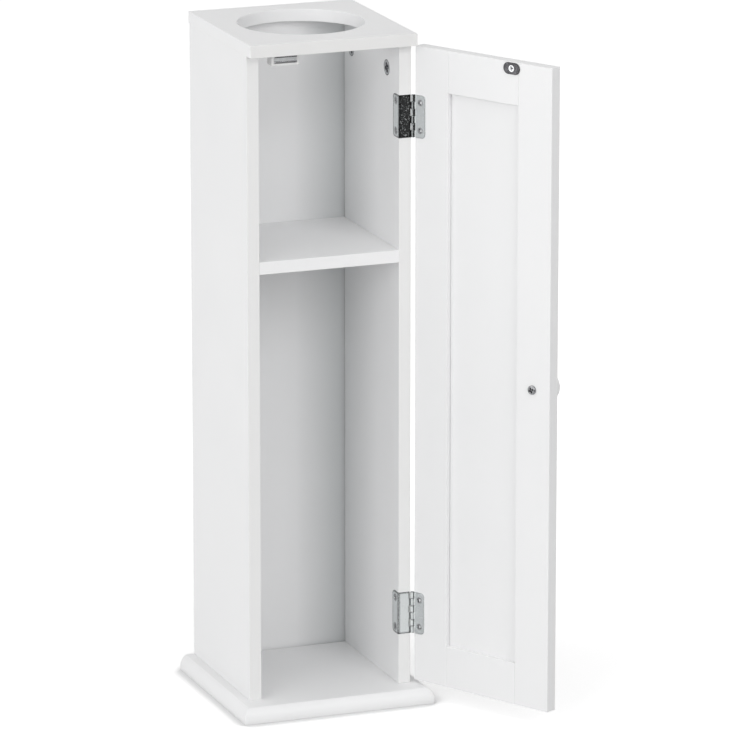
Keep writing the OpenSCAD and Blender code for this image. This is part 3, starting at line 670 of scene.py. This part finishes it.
def flutedDowel(size, steps=96):
    # radius less the flute depth times (1 + cos n a) / 2, with a chamfer at both ends
    r, c, length = size["radius"], size["chamfer"], size["length"]
    profile = [(0.0, 0.0), (r - c, 0.0), (r, c), (r, length - c), (r - c, length), (0.0, length)]
    rings, a = turned(profile, steps), np.linspace(0, 2 * np.pi, steps, endpoint=False)
    rings[..., :2] *= (1 - size["fluteDepth"] / r * (1 + np.cos(size["flutes"] * a)) / 2)[:, None]
    return rings - (0, 0, length - size["inFace"])


dowelRings, shelfX = flutedDowel(dowel), sideBoard["x"][0]
dowelPlaces = [((s * dowel["x"], dowel["y"], z), (0, 0, up))
               for z, up in zip(sideBoard["z"][::-1], (1, -1)) for s in sides]
dowelPlaces += [((s * shelfX, dowel["shelfY"] + t * dowel["shelfReach"], dowel["shelfZ"]), (s, 0, 0))
                for s in sides for t in (-1, 1)]
dowels = [stood(dowelRings, place, direction) for place, direction in dowelPlaces]
addPiece("flutedDowels", dowels, beech, ["dowels"])

baseScrew = {"head": 8.9, "rise": 0.0, "arm": 5.2, "width": 1.2, "recess": 1.5, "sunk": 0.05, "roll": 30,
             "below": [(4.45, -0.15), (2.4, -2.1), (2.4, -42.5), (0.6, -44.8), (0.0, -45.0)]}
baseX, sunk, roll = baseBoard["screwX"], baseScrew["sunk"], baseScrew["roll"]
baseScrews = [screwAt(baseScrew, (s * baseX, y, sunk), (0, 0, -1), roll * s)
              for s in sides for y in baseBoard["screwY"]]
addPiece("baseScrews", baseScrews, screwZinc, ["base_screws"])


# hinges

print("hinges")
hinge = {"middles": {"upper": 569.0, "lower": 85.0}, "height": 41.0, "sheet": 0.9, "ease": 0.18,
         "corner": 4.0, "knuckles": 6, "gap": 0.1, "knuckleRadius": 1.8, "knuckleEase": 0.2, "bore": 0.95,
         "tongue": 1.2, "room": 2.65, "roomGap": 0.6, "pinRound": 1.3, "pinTurn": 46.2,
         "sideX": 69.5, "sideY": -66.25, "legDepth": 14.5, "legScrewY": -59.75, "legPitch": 29.0,
         "doorY": -68.25, "doorEdge": 81.5, "doorLeaf": 12.5, "doorScrewX": 74.65, "doorPitch": 26.5}
hingeScrew = {"head": 5.0, "rise": 0.15, "arm": 3.9, "width": 1.25, "recess": 1.5,
              "below": [(2.5, -0.1), (1.3, -1.2), (1.3, -7.7), (0.3, -9.0), (0.0, -9.0)],
              "hole": [(2.56, 1.0), (2.56, -1.6)], "legRolls": (12, 40, 65, 25), "leafRolls": (30, 8, 52, 70)}
pinAt = (swing["pinX"], swing["pinY"], 0)


def knuckleTops(size, middle, first):
    # a knuckle's height, and the tops of every other one: middle + height / 2 - n steps
    step = size["height"] / size["knuckles"]
    return step, middle + size["height"] / 2 - step * np.arange(first, size["knuckles"], 2)


def knuckleTubes(size, middle, first):
    # tubes about the pin: outer radius, eased ends, bore
    step, tops = knuckleTops(size, middle, first)
    bore = size["bore"]
    tubes = []
    for top in tops - size["gap"] / 2:
        height, inset = easedRun(top - step + size["gap"], top, size["knuckleEase"])
        outside = np.stack([size["knuckleRadius"] - inset, height], -1)
        profile = np.concatenate([outside, [(bore, height[-1]), (bore, height[0])]])
        tubes.append(ringSurface(turned(profile, 40) + pinAt, closed=True))
    return tubes


def leafParts(size, middle, path, first):
    # the sheet from the pin outwards, and its knuckles
    half = size["height"] / 2
    sheet = carriedStrip(path, size["sheet"], middle - half, middle + half, size["ease"], size["corner"])
    return [sheet] + knuckleTubes(size, middle, first)


def knuckleRooms(size, middle, first):
    # plain cylinders about the pin where the other leaf's knuckles turn
    step, tops = knuckleTops(size, middle, first)
    room, gap = size["room"], size["roomGap"] * size["gap"]
    return [ringSurface(turned([(room, top - step - gap), (room, top)]) + pinAt) for top in tops + gap / 2]


def wrapPath(size):
    # across the side's front edge, round its corner and along its inner face
    t = size["sheet"]
    bend = arcProfile((size["sideX"], size["sideY"]), t / 2, 270, 180, 9)
    front = (swing["pinX"] - size["tongue"], size["sideY"] - t / 2)
    end = (size["sideX"] - t / 2, size["sideY"] - t + size["legDepth"])
    return np.concatenate([[front], bend, [end]])


def doorPath(size):
    # straight along the door's inner face
    y = size["doorY"] + size["sheet"] / 2
    return np.array([(swing["pinX"] - size["tongue"], y), (size["doorEdge"] - size["doorLeaf"], y)])


def screwPairs(x, y, pitch):
    # one above the other on each hinge
    return {k: [(x, y, z + s * pitch / 2) for s in (-1, 1)] for k, z in hinge["middles"].items()}


legPlaces = screwPairs(hinge["sideX"] - hinge["sheet"], hinge["legScrewY"], hinge["legPitch"])
leafPlaces = screwPairs(hinge["doorScrewX"], hinge["doorY"] + hinge["sheet"], hinge["doorPitch"])
for which, middle in hinge["middles"].items():
    legHoles = [screwHole(hingeScrew, place, (-1, 0, 0)) for place in legPlaces[which]]
    addPiece(which + "CabinetLeaf", leafParts(hinge, middle, wrapPath(hinge), 1), shadedZincPlate,
             [which + "_cabinet_leaf"], legHoles + knuckleRooms(hinge, middle, 0))
    leafHoles = [screwHole(hingeScrew, place, (0, 1, 0)) for place in leafPlaces[which]]
    addDoorPiece(which + "DoorLeaf", leafParts(hinge, middle, doorPath(hinge), 0), litZincLeaf,
                 [which + "_door_leaf"], leafHoles + knuckleRooms(hinge, middle, 1))

legScrews = [screwAt(hingeScrew, place, (-1, 0, 0), roll)
             for place, roll in zip(sum(legPlaces.values(), []), hingeScrew["legRolls"])]
addPiece("cabinetLeafScrews", legScrews, leafScrewZinc, ["cabinet_leaf_screws"])
leafScrews = [screwAt(hingeScrew, place, (0, 1, 0), roll)
              for place, roll in zip(sum(leafPlaces.values(), []), hingeScrew["leafRolls"])]
addDoorPiece("doorLeafScrews", leafScrews, leafScrewZinc, ["door_leaf_screws"])

endMiddle = (0.0, hinge["height"] / 2 - hinge["pinRound"])
pinEnd = arcProfile(endMiddle, hinge["pinRound"], 90, hinge["pinTurn"], 6)
pinRings = turned(np.concatenate([pinEnd, pinEnd[::-1] * (1, -1)]), 32)
pins = [ringSurface(pinRings + (*pinAt[:2], z), caps=False) for z in hinge["middles"].values()]
addPiece("hingePins", pins, screwZinc, ["hinge_pins"])


# magnetic catch

print("catch")
catch = {"middle": -43.0, "width": 27.5, "front": -66.25, "rear": -54.25, "bottom": 626.0, "top": 638.0,
         "windowHalf": 11.05, "windowLow": 628.4, "windowHigh": 635.8, "windowRear": -56.25,
         "windowRound": 0.5, "rim": 0.35, "round": 1.2, "ease": 0.6,
         "earLength": 9.0, "earThick": 2.0, "earHalf": 4.0, "earLap": 1.0, "earRound": 2.5, "earEase": 0.3}


def catchBody(size):
    # rings carried from the window's bottom out to the front, over its rim and back along the outside
    m, half, window = size["middle"], size["width"] / 2, size["windowHalf"]
    rim = easedRun(size["front"], size["windowRear"] + size["rim"], size["rim"])
    inY, out = (v[:len(v) // 2][::-1] for v in rim)
    outY, inset = easedRun(size["front"], size["rear"], size["ease"])
    inside = roundedRings(m - window - out, m + window + out,
                          size["windowLow"] - out, size["windowHigh"] + out, size["windowRound"])
    outside = drawnIn(m - half, m + half, size["bottom"], size["top"], size["round"], inset)
    rows = np.concatenate([inside[:1], inside, outside])
    depth = np.concatenate([[size["windowRear"]], inY, outY])
    return ringSurface(inPlane(rows, depth[:, None], "xzy"))


def catchEar(size, side):
    # flat lug with a half-round end: a rounded ring carried from its underside to its top
    near, far = size["width"] / 2 - size["earLap"], size["width"] / 2 + size["earLength"]
    x0, x1 = sorted((size["middle"] + side * near, size["middle"] + side * far))
    middleY, half = (size["front"] + size["rear"]) / 2, size["earHalf"]
    height, inset = easedRun(size["top"] - size["earThick"], size["top"], size["earEase"])
    flat = drawnIn(x0, x1, middleY - half, middleY + half, size["earRound"], inset)
    return ringSurface(inPlane(flat, height[:, None]))


earScrew = {"head": 4.6, "rise": 0.1, "arm": 2.6, "width": 0.66, "recess": 0.8, "roll": 35,
            "below": [(2.3, -0.1), (1.3, -1.1), (1.3, -7.8), (0.3, -9.0), (0.0, -9.0)],
            "hole": [(2.35, 1.0), (2.35, -1.4)]}
earReach, earY = (catch["width"] + catch["earLength"]) / 2, (catch["front"] + catch["rear"]) / 2
earPlaces = [(catch["middle"] + s * earReach, earY, catch["top"] - catch["earThick"]) for s in sides]
addPiece("catchBody", [catchBody(catch)], catchWhite, ["catch_body"])
addPiece("catchEars", [catchEar(catch, s) for s in sides], catchWhite,
         bores=[screwHole(earScrew, place, (0, 0, -1)) for place in earPlaces])
addPiece("catchScrews", [screwAt(earScrew, place, (0, 0, -1), earScrew["roll"]) for place in earPlaces],
         screwZinc, ["catch_screws"])

pole = {"low": (-54.0, -67.15), "high": (-32.0, -56.25), "z": (629.1, 633.9), "thick": 1.2, "ease": 0.2}
poles = [easedBox((*pole["low"], z), (*pole["high"], z + pole["thick"]), pole["ease"]) for z in pole["z"]]
addPiece("catchPoles", poles, screwZinc, ["catch_poles"])
magnet = {"low": (-54.0, -66.15, 630.3), "high": (-32.0, -56.25, 633.9), "ease": 0.6}
addPiece("catchMagnet", [easedBox(**magnet)], ferrite, ["catch_magnet"])


# door, drawn closed

print("door")
door = {"left": -80.5, "right": 81.5, "front": -80.25, "inner": -68.25, "low": 18.0, "high": 636.0,
        "stile": 39.5, "rail": 40.5, "ease": 0.5, "joint": 0.5, "lip": 0.1, "tongueLap": 0.5,
        "groove": (-76.25, -73.15), "stileGroove": (-76.25, -72.75), "grooveDepth": 6.0,
        "panelRear": -73.25, "panelReach": 5.0, "panelEase": 0.15}


def stileShape(size):
    # section in plan with the panel's groove in its inner edge; tight arrises at the joints
    x0, x1, y0, y1 = size["left"], size["left"] + size["stile"], size["front"], size["inner"]
    (g0, g1), deep = size["stileGroove"], x1 - size["grooveDepth"]
    e, j, lip = size["ease"], size["joint"], size["lip"]
    corners = [(x0, y0), (x1, y0), (x1, g0), (deep, g0), (deep, g1), (x1, g1), (x1, y1), (x0, y1)]
    return carriedSection(corners, [e, j, lip, 0, 0, lip, j, e], size["low"], size["high"], e)


def railParts(size, low, high, grooveAbove):
    # section across the rail with its groove, carried between the stiles, and a tongue at each end
    y0, y1, (g0, g1), j = size["front"], size["inner"], size["groove"], size["joint"]
    x0, x1 = size["left"] + size["stile"], size["right"] - size["stile"]
    e, deep, lip, lap = size["ease"], size["grooveDepth"], size["lip"], size["tongueLap"]
    if grooveAbove:
        floor = high - deep
        corners = [(y0, low), (y1, low), (y1, high), (g1, high),
                   (g1, floor), (g0, floor), (g0, high), (y0, high)]
        radii = [e, e, e, lip, 0, 0, lip, e]
        bottom, top = low + lip, floor
    else:
        floor = low + deep
        corners = [(y0, low), (g0, low), (g0, floor), (g1, floor),
                   (g1, low), (y1, low), (y1, high), (y0, high)]
        radii = [e, lip, 0, 0, lip, e, e, e]
        bottom, top = floor, high - lip
    tongues = [easedBox((a, g0, bottom), (b, g1, top), lip)
               for a, b in ((x0 - deep, x0 + lap), (x1 - lap, x1 + deep))]
    return [carriedSection(corners, radii, x0, x1, j, "yzx")] + tongues


def addDoorBoard(name, parts, node):
    return addDoorPiece(name, parts, boardWhite, [node])


railHigh = (door["high"] - door["rail"], door["high"])
railLow = (door["low"], door["low"] + door["rail"])
addDoorBoard("freeStile", [stileShape(door)], "door_free_stile")
doorMiddle = (door["left"] + door["right"]) / 2
addDoorBoard("hingeStile", [mirrored(stileShape(door), doorMiddle)], "door_hinge_stile")
addDoorBoard("topRail", railParts(door, *railHigh, False), "door_top_rail")
addDoorBoard("bottomRail", railParts(door, *railLow, True), "door_bottom_rail")
panelReach = door["panelReach"]
panelLow = (door["left"] + door["stile"] - panelReach, door["groove"][0], railLow[1] - door["grooveDepth"])
panelHigh = (door["right"] - door["stile"] + panelReach, door["panelRear"], railHigh[0] + panelReach)
addDoorBoard("doorPanel", [easedBox(panelLow, panelHigh, door["panelEase"])], "door_panel")


# strike plate and knob

print("strike plate and knob")
strike = {"x": -33.5, "z": 629.8, "length": 19.0, "width": 11.0, "thick": 1.0, "ease": 0.35}
strikeScrew = {"head": 6.5, "rise": 0.04, "arm": 3.9, "width": 1.2, "recess": 1.2, "roll": 10,
               "below": [(3.25, -0.1), (1.5, -1.75), (1.5, -7.5), (0.3, -9.0), (0.0, -9.0)],
               "hole": [(3.32, 1.0), (3.32, -0.8)]}


def strikePlate(size):
    # a half-round ended plate, its rim rounded over and its foot square
    depth, inset = easedRun(door["inner"], door["inner"] + size["thick"], size["ease"])
    inset[:len(inset) // 2] = 0
    x, z, l, w = size["x"], size["z"], size["length"] / 2, size["width"] / 2
    flat = drawnIn(x - l, x + l, z - w, z + w, w, inset, steps=16)
    return ringSurface(inPlane(flat, depth[:, None], "xzy"))


strikeFace, doorInwards = (strike["x"], door["inner"] + strike["thick"], strike["z"]), (0, 1, 0)
addDoorPiece("strikePlate", [strikePlate(strike)], strikeBlack, ["strike_plate"],
             [screwHole(strikeScrew, strikeFace, doorInwards, 48)])
addDoorPiece("strikeScrew", [screwAt(strikeScrew, strikeFace, doorInwards, strikeScrew["roll"])],
             screwZinc, ["strike_screw"])

knob = {"x": -60.0, "z": 328.5, "foot": 7.0, "footHeight": 0.8, "neck": 6.4, "neckStart": 1.6, "hollow": 1.2,
        "rim": 9.4, "rimRadius": 3.6, "flat": 11.4, "dome": 1.5, "crease": 40.0}


def knobProfile(size):
    # foot, neck with a hollow sweep into the rim, the rim's half circle, and a shallow dome to the middle:
    # height = rim + rim radius + dome (1 - (r / flat)^2)
    under, hollow = size["rim"] - size["rimRadius"], size["hollow"]
    foot = [(0, 0), (size["foot"], 0), (size["foot"], size["footHeight"]), (size["neck"], size["neckStart"])]
    sweep = arcProfile((size["neck"] + hollow, under - hollow), hollow, 180, 90, 8)
    rim = arcProfile((size["flat"], size["rim"]), size["rimRadius"], -90, 90, 20)
    r = np.linspace(size["flat"], 0, 14)[1:]
    dome = np.stack([r, size["rim"] + size["rimRadius"] + size["dome"] * (1 - (r / size["flat"]) ** 2)], -1)
    return np.concatenate([foot, sweep, rim, dome])


knobRings = turned(knobProfile(knob), 96)
addDoorPiece("turnedKnob", [stood(knobRings, (knob["x"], door["front"], knob["z"]), (0, -1, 0))],
             knobWhite, ["knob"], crease=knob["crease"])
knobScrew = {"head": 6.8, "rise": 0.35, "arm": 4.9, "width": 1.15, "recess": 1.7, "roll": 22, "seat": 2.05,
             "below": np.concatenate([arcProfile((3.4, -0.9), 0.95, 85, 0, 8),
                                      [(4.4, -2.05), (2.0, -2.05), (2.0, -23.0), (0.0, -23.0)]])}
knobScrewAt = (knob["x"], door["inner"] + knobScrew["seat"], knob["z"])
addDoorPiece("knobScrew", [screwAt(knobScrew, knobScrewAt, doorInwards, knobScrew["roll"])],
             screwGrey, ["knob_screw"])


# room, light and camera

print("room")
studio = {"fill": 0.452, "floor": {"x": (-9, 9), "y": (-9, 9), "z": -0.0003}, "bounce": 0.8,
          "floorGrey": 0.9, "floorGlow": (0.42, 0.58), "glowReach": (0.25, 0.9),
          "shade": (0.60, 1.0, 0.72, 0.96), "shadeReach": 0.0175,
          "lamps": {"leftSoftbox": ((-3.2, -2.6, 1.6), 2.4, 50.8),
                    "sideSoftbox": ((-3.6, 0.6, 1.4), 2.4, 23.0),
                    "frontSoftbox": ((0.6, -3.8, 2.4), 2.0, 43.0),
                    "topSoftbox": ((-0.4, -0.6, 3.2), 2.4, 13.0)},
          "card": {"x": (-3.5, 3.6), "y": (-9.0, -0.2), "z": 0.002},
          "cardLook": {"fade": (-0.55, -1.7), "near": 0.97, "far": 0.04, "rough": 0.9},
          "aim": (0.0, 0.0, 0.33)}


def seenDirectly(tree):
    # 1 for what the camera, a gloss or a glass sees, 0 for light that bounces
    path = addNode(tree, "LightPath").outputs
    seen = worked(tree, "MAXIMUM", path["Is Camera Ray"], path["Is Glossy Ray"])
    return worked(tree, "MAXIMUM", seen, path["Is Transmission Ray"])


def floorFinish(size):
    # seen directly: grey lit by the lamps plus a glow that grows with the distance from the cabinet,
    # both darkened where the cabinet closes the floor in as a painted contact shadow, so the open floor is
    # white and the shadow shows
    material, tree, where = startFinish("floorWhite")
    plain, lit = (addNode(tree, "BsdfDiffuse", {"Color": (grey, grey, grey, 1)}).outputs[0]
                  for grey in (size["bounce"], size["floorGrey"]))
    away = addNode(tree, "VectorMath", {0: where}, operation="LENGTH").outputs["Value"]
    glow = addNode(tree, "Emission", {"Strength": ranged(tree, away, *size["floorGlow"], *size["glowReach"])})
    seen = addNode(tree, "AddShader", {0: lit, 1: glow.outputs[0]}).outputs[0]
    # painted contact shadow on the floor near the cabinet
    around = addNode(tree, "AmbientOcclusion", {"Distance": size["shadeReach"]}).outputs["AO"]
    shaded = addNode(tree, "MixShader", {0: ranged(tree, around, *size["shade"]), 2: seen}).outputs[0]
    chosen = addNode(tree, "MixShader", {0: seenDirectly(tree), 1: plain, 2: shaded}).outputs[0]
    addNode(tree, "OutputMaterial", {"Surface": chosen})
    return material


def cardFinish(look):
    # a card lying in front, which only polished metal shows: grey from near to far as y goes over the fade
    material, tree, where = startFinish("cardShade")
    share = ranged(tree, coordinates(tree, where)[1], 1.0, 0.0, *look["fade"][::-1])
    grey = tinted(tree, share, (look["near"],) * 3, (look["far"],) * 3, 0.0, 1.0)
    return finished(material, {"Base Color": grey, "Roughness": look["rough"], "Specular IOR Level": 0.0})


def groundPlane(name, finish, x, y, z):
    # a flat rectangle on the stage
    mesh = bpy.data.meshes.new(name)
    mesh.from_pydata([(x[0], y[0], z), (x[1], y[0], z), (x[1], y[1], z), (x[0], y[1], z)], [], [(0, 1, 2, 3)])
    mesh.materials.append(finish)
    plane = addObject(name, mesh)
    return plane


groundPlane("floor", floorFinish(studio), **studio["floor"])
card = groundPlane("card", cardFinish(studio["cardLook"]), **studio["card"])
card.visible_camera = card.visible_diffuse = card.visible_transmission = card.visible_shadow = False

world = bpy.data.worlds.new("studioWorld")
bpy.context.scene.world = world
world.use_nodes = True
sky = world.node_tree
sky.nodes.clear()
fill, white = (addNode(sky, "Background", {"Color": (1, 1, 1, 1), "Strength": strength}).outputs[0]
               for strength in (studio["fill"], 1.0))
chosen = addNode(sky, "MixShader", {0: seenDirectly(sky), 1: fill, 2: white}).outputs[0]
addNode(sky, "OutputWorld", {"Surface": chosen})

for lampName, (place, side, power) in studio["lamps"].items():
    light = bpy.data.lights.new(lampName, "AREA")
    light.shape, light.size, light.energy = "SQUARE", side, power
    lamp = addObject(lampName, light)
    lamp.location = place
    lamp.rotation_euler = (Vector(studio["aim"]) - Vector(place)).to_track_quat("-Z", "Y").to_euler()

view = {"place": (-1.9385, -5.2650, 1.7970), "tilt": 75.22, "yaw": -20.82, "lens": 299.1, "sensor": 36.0,
        "clip": (0.1, 60.0)}
lens = bpy.data.cameras.new("camera")
lens.lens, lens.sensor_width, lens.sensor_fit = view["lens"], view["sensor"], "HORIZONTAL"
lens.clip_start, lens.clip_end = view["clip"]
camera = addObject("camera", lens)
camera.location = view["place"]
camera.rotation_euler = (math.radians(view["tilt"]), 0.0, math.radians(view["yaw"]))
bpy.context.scene.camera = camera
bpy.context.scene.view_settings.view_transform = "Standard"

print("done")
